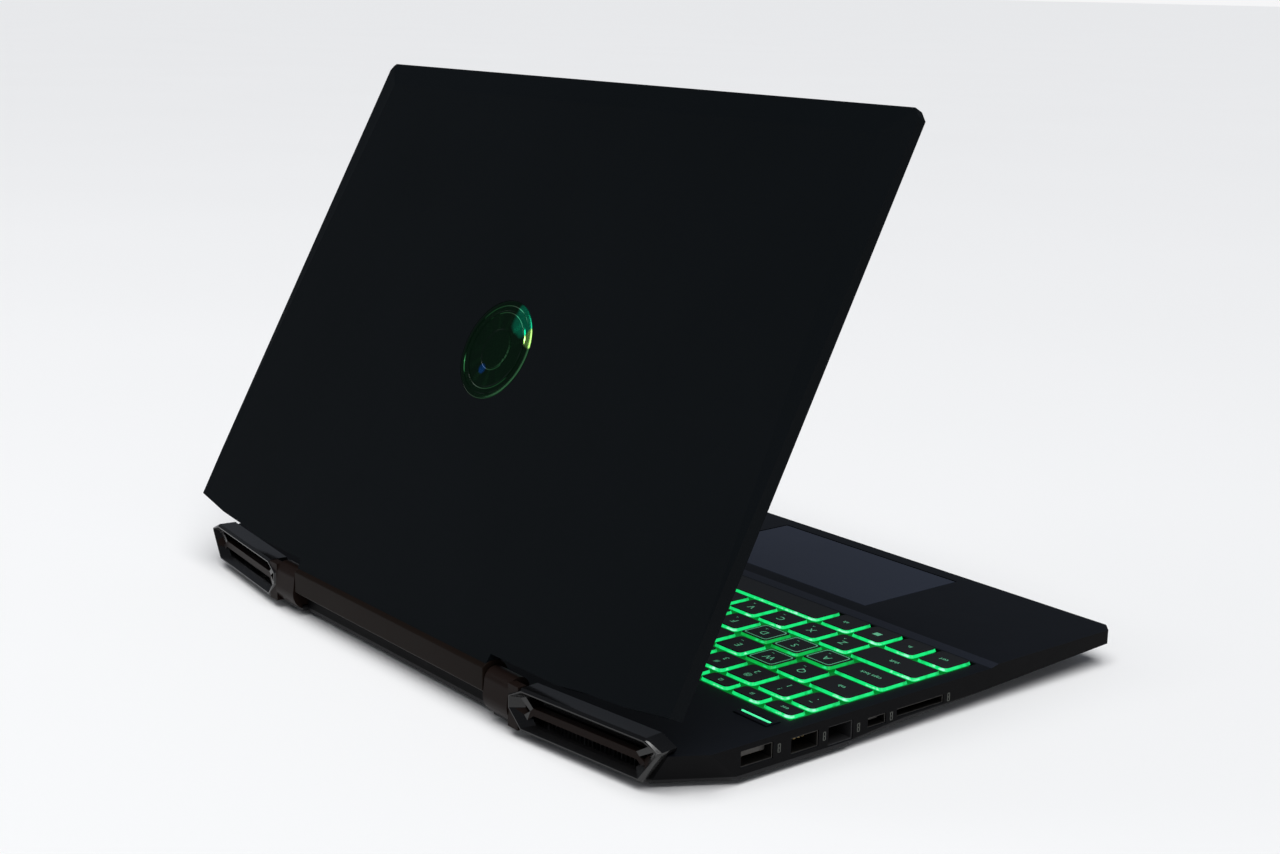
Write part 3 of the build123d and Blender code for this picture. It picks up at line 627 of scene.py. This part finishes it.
def rounded_ring(work, low, high, inset, radius, z, shine):
    """A rounded rectangle of vertices, inset from a cap's box, at one height."""
    ring = []
    layer = work.verts.layers.float["shine"]
    corners = [(high.x - inset, high.y - inset, 0), (low.x + inset, high.y - inset, 1),
               (low.x + inset, low.y + inset, 2), (high.x - inset, low.y + inset, 3)]
    for x, y, quarter in corners:
        sign_x = 1 if quarter in (0, 3) else -1
        sign_y = 1 if quarter in (0, 1) else -1
        for step in range(CORNER_STEPS):
            turn = (quarter + step / (CORNER_STEPS - 1)) * math.pi / 2
            vertex = work.verts.new((x - sign_x * radius + math.cos(turn) * radius,
                                     y - sign_y * radius + math.sin(turn) * radius, z))
            # The lamp spot sits under the rear edge, nearer its left end; the glow is painted round it.
            # Painted light creeps along the rear and left sides.
            lamp = Vector((low.x + min(LAMP_INSET, (high.x - low.x) * 0.3), high.y))
            away = (Vector((vertex.co.x, vertex.co.y)) - lamp).length
            edge_away = min(high.y - vertex.co.y, vertex.co.x - low.x)
            vertex[layer] = shine * (0.72 * math.exp(-(away / LAMP_REACH) ** 2)
                                     + 0.42 * math.exp(-(edge_away / EDGE_REACH) ** 2) + 0.05)
            ring.append(vertex)
    return ring


def cap_faces(work, low, high, margin):
    """One cap: lit sides, a filleted shoulder and a painted, slightly dished top."""
    # The last number of each level scales the painted glow on that ring.
    levels = [
        (0.0, 0.0020, low.z, 0.60), (CAP_TAPER * 0.2, 0.0020, low.z + 0.0004, 1.0),
        (CAP_TAPER * 0.5, 0.0019, low.z + (high.z - low.z) * PAINT_FROM, 0.80),
        (CAP_TAPER * 0.8, 0.0018, high.z - SIDE_FILLET, 0.0),
        (CAP_TAPER * 0.8 + SIDE_FILLET * 0.45, 0.0017, high.z - SIDE_FILLET * 0.3, 0.0),
        (CAP_TAPER + SIDE_FILLET * 0.6, 0.0016, high.z, 0.0),
        (CAP_TAPER + SIDE_FILLET * 0.6 + margin, 0.0015, high.z - 0.00002, 0.0),
    ]
    rings = [rounded_ring(work, low, high, *level) for level in levels]
    for level, (below, above) in enumerate(zip(rings, rings[1:])):
        count = len(below)
        for i in range(count):
            j = (i + 1) % count
            face = work.faces.new((below[i], below[j], above[j], above[i]))
            face.material_index = 1 if level < LIT_LEVELS else 0
    work.faces.new(list(reversed(rings[0]))).material_index = 1
    inset = CAP_TAPER + SIDE_FILLET * 0.6 + margin + DISH_EDGE
    dish = rounded_ring(work, low, high, inset, 0.0009, high.z - DISH_DEPTH, 0.0)
    count = len(dish)
    for i in range(count):
        j = (i + 1) % count
        work.faces.new((rings[-1][i], rings[-1][j], dish[j], dish[i])).material_index = 0
    work.faces.new(dish).material_index = 0


def outline(work, low, high):
    """A thin clear line left in the paint a little way in from the edge, with the legends' painted glow."""
    rings = [rounded_ring(work, low, high, inset, radius, high.z + rise, 0.6) for inset, radius, rise in (
        (OUTLINE_OUTER, 0.0015, -OUTLINE_DEPTH), (OUTLINE_OUTER, 0.0015, 0.0),
        (OUTLINE_INNER, 0.0014, 0.0), (OUTLINE_INNER, 0.0014, -OUTLINE_DEPTH))]
    for below, above in zip(rings, rings[1:] + rings[:1]):
        count = len(below)
        for i in range(count):
            j = (i + 1) % count
            work.faces.new((below[i], below[j], above[j], above[i])).material_index = 2


def key_piece(node):
    work = bmesh.new()
    work.verts.layers.float.new("shine")
    for low, high in cap_boxes(node):
        cap_faces(work, low, high, PAINT_MARGIN)
        if node in GAMING_KEYS:
            outline(work, low, high)
    bmesh.ops.recalc_face_normals(work, faces=work.faces)
    mesh = bpy.data.meshes.new(node + "_caps")
    work.to_mesh(mesh)
    work.free()
    mesh.materials.append(key_black)
    mesh.materials.append(key_dim_sides if node in GAMING_KEYS else key_sides)
    mesh.materials.append(legend_glow)
    return finish_with(settle(mesh, node + "_caps"), None, node, "key", node)


# The legends are the clear parts of the paint, with a painted glow: letters near the middle, a second small
# mark towards the user.
# Each list follows the caps from front to rear and left to right; a tall cap counts by its front edge.
LEGENDS = {
    "keys_bottom": ["ctrl", "fn", "square", "alt", "alt", "ctrl", "v", "<", "^", ">"],
    "space_bar": [""],
    "keys_shift_row": ["shift"] + list("ZXCVBNM,./") + ["shift"],
    "keys_home_row": ["caps lock"] + list("FGHJKL;'"),
    "key_a": ["A"], "key_s": ["S"], "key_d": ["D"], "key_w": ["W"], "enter_key": ["enter"],
    "keys_upper_row": ["tab"] + list("QERTYUIOP[]\\"),
    "keys_number_row": list("`1234567890-=") + ["back"],
    "keys_function_row": ["esc"] + [f"f{i}" for i in range(1, 13)] + [
        "prt", "del", "home", "end", "pgup", "pgdn"],
    "keys_numpad": ["0", ".", "ent", "1", "2", "3", "4", "5", "6", "+", "7", "8", "9", "num", "/", "*", "-"],
}
SHIFTED = dict(zip("`1234567890-=[]\\;',./", "~!@#$%^&*()_+{}|:\"<>?"))
LETTER_SIZE = 0.0052
WORD_SIZE = 0.0030
MARK_SIZE = 0.0026
MARK_AT = (0.0030, -0.0038)
LETTER_UP = 0.0008
PLAIN_DOWN = 0.0024
SHIFTED_UP = 0.0028
SQUARE = (0.0034, 0.0030)
LETTER_CAP = 0.012      # a cap shallower than this takes a small word instead of a letter
LEGEND_THICKNESS = 0.00004
glyph_cache = {}


def glyph(text):
    """The outline of a legend as vertices and faces, a unit high, centred on its own middle."""
    if text not in glyph_cache:
        curve = bpy.data.curves.new("legend", "FONT")
        curve.body = text
        curve.size = 1.0
        curve.extrude = 0.5
        curve.resolution_u = 3
        curve.align_x = "CENTER"
        curve.align_y = "CENTER"
        holder = bpy.data.objects.new("legend", curve)
        bpy.context.scene.collection.objects.link(holder)
        graph = bpy.context.evaluated_depsgraph_get()
        mesh = bpy.data.meshes.new_from_object(holder.evaluated_get(graph), depsgraph=graph)
        glyph_cache[text] = mesh
        bpy.data.objects.remove(holder)
    return glyph_cache[text]


def set_legend(work, text, x, y, z, size):
    before = len(work.verts)
    work.from_mesh(glyph(text))
    work.verts.ensure_lookup_table()
    added = work.verts[before:]
    place = Matrix.Translation((x, y, z)) @ Matrix.Diagonal((size, size, LEGEND_THICKNESS, 1.0))
    bmesh.ops.transform(work, matrix=place, verts=added)


def legend_piece(node):
    work = bmesh.new()
    for (low, high), text in zip(cap_boxes(node), LEGENDS[node]):
        middle_x = (low.x + high.x) / 2
        middle_y = (low.y + high.y) / 2
        top = high.z - 0.0001
        if not text:
            continue
        if text == "square":
            place = Matrix.Translation((middle_x, middle_y, top))
            place = place @ Matrix.Diagonal((*SQUARE, LEGEND_THICKNESS, 1.0))
            bmesh.ops.create_cube(work, size=1.0, matrix=place)
            continue
        if text in SHIFTED and node != "keys_numpad":
            set_legend(work, text, middle_x, middle_y - PLAIN_DOWN, top, LETTER_SIZE * 0.8)
            set_legend(work, SHIFTED[text], middle_x, middle_y + SHIFTED_UP, top, LETTER_SIZE * 0.7)
        elif len(text) == 1 and (high.y - low.y) > LETTER_CAP:
            set_legend(work, text, middle_x, middle_y + LETTER_UP, top, LETTER_SIZE)
            if text.isalpha():
                second = "~" if ord(text) % 2 else "^"
                set_legend(work, second, middle_x + MARK_AT[0], middle_y + MARK_AT[1], top, MARK_SIZE)
        else:
            set_legend(work, text, middle_x, middle_y, top, WORD_SIZE)
    bmesh.ops.remove_doubles(work, verts=work.verts, dist=1e-7)
    mesh = bpy.data.meshes.new(node + "_legends")
    work.to_mesh(mesh)
    work.free()
    piece = bpy.data.objects.new(node + "_legends", mesh)
    bpy.context.scene.collection.objects.link(piece)
    return finish_with(piece, legend_glow, node, "led")


for node in LEGENDS:
    key_piece(node)
    if any(LEGENDS[node]):
        legend_piece(node)

# ---------------------------------------------------------------- touchpad
# A single satin plate with a thin cut edge is let into the palm rest, left of its middle, and clicks as a
# whole.
pad_paint = moulded("pad_satin", (0.0170, 0.0210, 0.0330), (0.0200, 0.0250, 0.0390),
                    0.40, 0.06, 0.0006, 0.000012, Specular_IOR_Level=0.10)
pad = rounded("touchpad", "touch_plate", 0.0005, 3)
finish_with(pad, pad_paint, "touchpad", "pad", "touchpad")

# ---------------------------------------------------------------- power button
# The button sits behind the function keys on the left and has a bright bar lamp moulded into it.
button = rounded("power_button", "power_key", 0.0004, 3)
finish_with(button, deck_paint, "power_button", "deck", "power_button")
lamp_glow, wires, shader = new_finish("lamp_bar", Roughness=0.3, Emission_Strength=1.0)
mix_colours(wires, noise(wires, 0.006), (0.01, 0.72, 0.20), (0.12, 1.0, 0.50)).into(shader, "Emission Color")
mix_colours(wires, noise(wires, 0.004), (0.05, 0.4, 0.2), (0.1, 0.5, 0.3)).into(shader, "Base Color")
LAMP_SHARE = 0.45
lamp_low, lamp_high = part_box("power_light")
lamp_middle = (lamp_low + lamp_high) / 2
lamp_span = lamp_high - lamp_low
lamp_work = bmesh.new()
bmesh.ops.create_cube(lamp_work, size=1.0, matrix=Matrix.Translation(lamp_middle) @ Matrix.Diagonal(
    (lamp_span.x, lamp_span.y * LAMP_SHARE, lamp_span.z, 1.0)))
lamp_mesh = bpy.data.meshes.new("power_lamp")
lamp_work.to_mesh(lamp_mesh)
lamp_work.free()
power_bar = settle(lamp_mesh, "power_lamp", 0.0001)
finish_with(power_bar, lamp_glow, "power_button", "led", "power_light")

# ---------------------------------------------------------------- side sockets
# Folded metal shells and black moulded bodies sit behind openings in the side walls, with rows of sprung
# contacts inside. The charge lamp is a clear pin beside the power inlet.


def worn_metal(name, low, high, rough):
    """Bare metal with fine drawn lines and cloudy dulling."""
    material, wires, shader = new_finish(name, Metallic=1.0)
    mix_colours(wires, noise(wires, 0.006, 4), low, high).into(shader, "Base Color")
    lines = wires.node("ShaderNodeTexNoise", inputs={
        "Vector": wires.node("ShaderNodeVectorMath", {"operation": "MULTIPLY"},
                             {0: place_on(wires), 1: (400.0, 6000.0, 6000.0)}), "Scale": 1.0}, out="Fac")
    (lines * 0.2 + (rough - 0.1)).into(shader, "Roughness")
    wires.node("ShaderNodeBump", inputs={
        "Strength": 0.3, "Distance": 0.00001, "Height": lines}).into(shader, "Normal")
    return material


# The shells' metal is darkened far below bright steel: painted shade for the recesses they sit in.
socket_metal_in_shade = worn_metal("socket_shell", (0.055, 0.053, 0.050), (0.085, 0.081, 0.076), 0.42)
socket_plastic = moulded("socket_black", (0.010, 0.010, 0.011), (0.016, 0.016, 0.017), 0.5, 0.1)
contact_gold = worn_metal("contact_gold", (0.62, 0.44, 0.18), (0.78, 0.58, 0.26), 0.3)
pin_tree = grid_tree("contact_pins", "bar", contact_gold)
for node in ("hdmi_port", "usb_port_left", "usb_ports_right", "usb_c_port", "card_reader"):
    shell = rounded(node, node + "_shell", 0.0001)
    finish_with(shell, socket_metal_in_shade, "base", "port", node)
for node in ("ethernet_port", "audio_jack", "dc_inlet"):
    body = rounded(node, node + "_body", 0.00015)
    finish_with(body, socket_plastic, "base", "port_dark", node)
charge_lamp = frame["nodes"]["charge_light"]
charge_lamp.data.materials.clear()
charge_lamp.data.materials.append(lamp_glow)


def contacts(name, node, count, pitch, drop, size):
    """A row of contacts along a socket's width, part-way into it."""
    low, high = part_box(node)
    middle = (low + high) / 2
    pins = grown(name, pin_tree, contact_gold, Columns=1, Rows=count, Along=(0, pitch, 0),
                 Start=(middle.x, middle.y - pitch * (count - 1) / 2, middle.z + drop), Size=size)
    return finish_with(pins, contact_gold, "base", "port")


contacts("hdmi_contacts", "hdmi_port", 10, 0.0010, -0.00034, (0.0065, 0.00045, 0.00012))
contacts("usb_contacts", "usb_port_left", 4, 0.0022, 0.00022, (0.0085, 0.0012, 0.00012))
contacts("network_contacts", "ethernet_port", 8, 0.00102, 0.0029, (0.008, 0.0004, 0.0003))

# ---------------------------------------------------------------- bottom cover, feet and screws
# The underside is one ribless black moulding with slots under the fans. It stands on two rubber strips and is
# held by eight small cross-head screws.
bottom_paint = moulded("under_shell", (0.0050, 0.0052, 0.0060), (0.0070, 0.0072, 0.0082),
                       0.52, 0.10, 0.0005, 0.00004, Specular_IOR_Level=0.22)
bottom = rounded("bottom_cover", "under_cover", 0.0003, 2, 24)
finish_with(bottom, bottom_paint, "base", "shell", "bottom_cover")
feet = rounded("rubber_feet", "rubber_strips", 0.0004, 3)
finish_with(feet, rubber, "base", "rubber", "rubber_feet")
screw_black = worn_metal("screw_black", (0.020, 0.020, 0.021), (0.035, 0.034, 0.033), 0.38)
screws = rounded("bottom_screws", "cover_screws", 0.00015)
finish_with(screws, screw_black, "base", "screw", "bottom_screws")

# ---------------------------------------------------------------- inside the case
# These sit out of sight between the covers: boards, battery, speakers, fans and the cooling parts.
board_green = moulded("board_green", (0.004, 0.035, 0.018), (0.008, 0.055, 0.028), 0.42, 0.1, 0.0009, 0.00003)
wrap_black = moulded("wrap_black", (0.014, 0.014, 0.016), (0.022, 0.022, 0.025), 0.5, 0.12)
bright_steel = worn_metal("bright_steel", (0.38, 0.38, 0.39), (0.52, 0.52, 0.53), 0.36)
fin_metal = worn_metal("fin_aluminium", (0.50, 0.50, 0.51), (0.64, 0.64, 0.65), 0.34)
pipe_copper = worn_metal("pipe_copper", (0.55, 0.24, 0.12), (0.70, 0.34, 0.18), 0.32)
INSIDE = {
    "motherboard": board_green, "solid_state_drive": board_green, "memory_modules": board_green,
    "webcam_board": board_green, "battery": wrap_black, "speakers": wrap_black,
    "fan_housing_left": wrap_black, "fan_housing_right": wrap_black,
    "fan_rotor_left": wrap_black, "fan_rotor_right": wrap_black,
    "hinge_bracket_left": bright_steel, "hinge_bracket_right": bright_steel, "hinge_arm_left": bright_steel,
    "hinge_arm_right": bright_steel, "keyboard_plate": bright_steel, "lcd_module": fin_metal,
    "heatsink_left": fin_metal, "heatsink_right": fin_metal, "heat_pipes": pipe_copper,
}
for node, material in INSIDE.items():
    inner_part = frame["nodes"][node]
    inner_part.data.materials.clear()
    inner_part.data.materials.append(material)

# ---------------------------------------------------------------- floor, light and camera
# A plain pale floor, an overhead light and three soft boxes, and the camera behind the user's left.
FLOOR_HALF = 60.0
floor_mesh = bpy.data.meshes.new("floor")
floor_mesh.from_pydata([
    (-FLOOR_HALF, -FLOOR_HALF, 0), (FLOOR_HALF, -FLOOR_HALF, 0), (FLOOR_HALF, FLOOR_HALF, 0),
    (-FLOOR_HALF, FLOOR_HALF, 0)], [], [(0, 1, 2, 3)])
floor = bpy.data.objects.new("floor", floor_mesh)
bpy.context.scene.collection.objects.link(floor)
floor_paint, wires, shader = new_finish("pale_floor", Roughness=0.9)
mix_colours(wires, noise(wires, 0.5), (0.86, 0.86, 0.86), (0.88, 0.88, 0.88)).into(shader, "Base Color")
floor_mesh.materials.append(floor_paint)

bpy.context.scene.view_settings.view_transform = "Standard"
world = bpy.data.worlds.new("studio")
bpy.context.scene.world = world
world.use_nodes = True
studio = Wire(world.node_tree)
backdrop = world.node_tree.nodes["Background"]
# The backdrop is pale; what surrounds the object is dim, so that dark surfaces stay dark.
seen = studio.node("ShaderNodeLightPath", out="Is Camera Ray")
mix_colours(studio, seen, (0.12, 0.13, 0.15), (0.92, 0.92, 0.93)).into(backdrop, "Color")

MIDDLE = Vector((0.0, 0.02, 0.09))


def soft_light(name, place, size, power):
    lamp = bpy.data.lights.new(name, "AREA")
    lamp.shape = "RECTANGLE"
    lamp.size, lamp.size_y = size
    lamp.energy = power
    holder = bpy.data.objects.new(name, lamp)
    holder.location = place
    holder.rotation_euler = (MIDDLE - Vector(place)).to_track_quat("-Z", "Y").to_euler()
    bpy.context.scene.collection.objects.link(holder)


# An overhead sheet of light as broad as a ceiling, and three soft boxes that draw the bevels.
overhead = bpy.data.lights.new("ceiling", "SUN")
overhead.energy = 2.9
overhead.angle = math.radians(55)
ceiling = bpy.data.objects.new("ceiling", overhead)
ceiling.rotation_euler = Vector((0.30, -0.22, -0.92)).to_track_quat("-Z", "Y").to_euler()
bpy.context.scene.collection.objects.link(ceiling)
soft_light("rear_box", (1.5, 1.6, 1.1), (0.8, 0.8), 4)
soft_light("left_box", (-1.8, 0.3, 0.35), (0.9, 0.5), 2.5)
soft_light("corner_box", (-0.12, 0.61, 1.11), (0.22, 0.22), 1.2)

CAMERA_AT = Vector((-0.64784, 0.51443, 0.28062))
CAMERA_YAW, CAMERA_PITCH, CAMERA_ROLL = 0.8911, 0.2302, 0.0202
CAMERA_LENS = 52.95
camera = bpy.data.cameras.new("camera")
camera.lens = CAMERA_LENS
camera.sensor_width = 36.0
camera.clip_start = 0.05
holder = bpy.data.objects.new("camera", camera)
forward = Vector((
    math.sin(CAMERA_YAW) * math.cos(CAMERA_PITCH), -math.cos(CAMERA_YAW) * math.cos(CAMERA_PITCH),
    -math.sin(CAMERA_PITCH)))
right = forward.cross(Vector((0, 0, 1))).normalized()
up = right.cross(forward)
across = math.cos(CAMERA_ROLL) * right + math.sin(CAMERA_ROLL) * up
upward = math.cos(CAMERA_ROLL) * up - math.sin(CAMERA_ROLL) * right
holder.matrix_world = Matrix.Translation(CAMERA_AT) @ Matrix((across, upward, -forward)).transposed().to_4x4()
bpy.context.scene.collection.objects.link(holder)
bpy.context.scene.camera = holder
